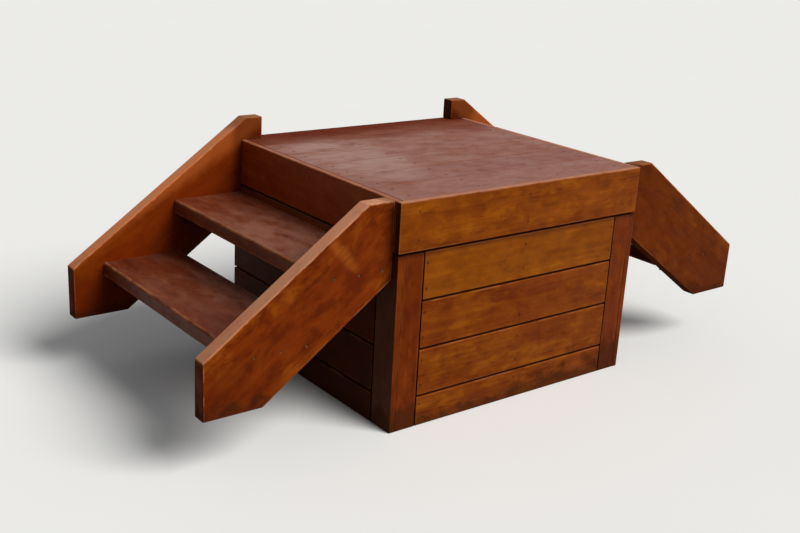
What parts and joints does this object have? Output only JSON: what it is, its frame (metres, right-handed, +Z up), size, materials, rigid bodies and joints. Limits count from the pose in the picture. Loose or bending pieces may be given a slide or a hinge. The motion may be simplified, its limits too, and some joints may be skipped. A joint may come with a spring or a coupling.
{
  "type": "wooden deck stairs with landing",
  "caption": "Hardwood landing box that stands against a deck's edge, with a short flight of closed treads between sloping stringers down each side.",
  "frame": {"origin": "on the ground under the middle of the landing, halfway between the flights' feet", "axes": "+X along the deck to the right-hand flight, +Y towards the deck, +Z up"},
  "size_m": [2.085, 0.885, 0.745],
  "materials": {
    "decking": "satin",
    "fascia": "satin",
    "cladding": "satin",
    "trim": "satin",
    "stringer": "satin",
    "tread": "satin",
    "frame": "rough sawn"
  },
  "bodies": {
    "root": {"front_left_post": "frame", "front_right_post": "frame", "back_left_post": "frame", "back_right_post": "frame", "front_rim": "frame", "back_rim": "frame", "left_rim": "frame", "right_rim": "frame", "joists": "frame", "studs": "frame", "deck_board_1": "decking", "deck_board_2": "decking", "deck_board_3": "decking", "deck_board_4": "decking", "deck_board_5": "decking", "deck_board_6": "decking", "front_fascia": "fascia", "left_fascia": "fascia", "right_fascia": "fascia", "front_left_trim": "trim", "front_right_trim": "trim", "side_left_trim": "trim", "side_right_trim": "trim", "front_board_1": "cladding", "front_board_2": "cladding", "front_board_3": "cladding", "front_board_4": "cladding", "left_board_1": "cladding", "left_board_2": "cladding", "left_board_3": "cladding", "left_board_4": "cladding", "right_board_1": "cladding", "right_board_2": "cladding", "right_board_3": "cladding", "right_board_4": "cladding", "left_front_stringer": "stringer", "left_back_stringer": "stringer", "right_front_stringer": "stringer", "right_back_stringer": "stringer", "left_lower_tread": "tread", "left_upper_tread": "tread", "right_lower_tread": "tread", "right_upper_tread": "tread", "left_cleats": "stringer", "right_cleats": "stringer"}
  },
  "joints": []
}
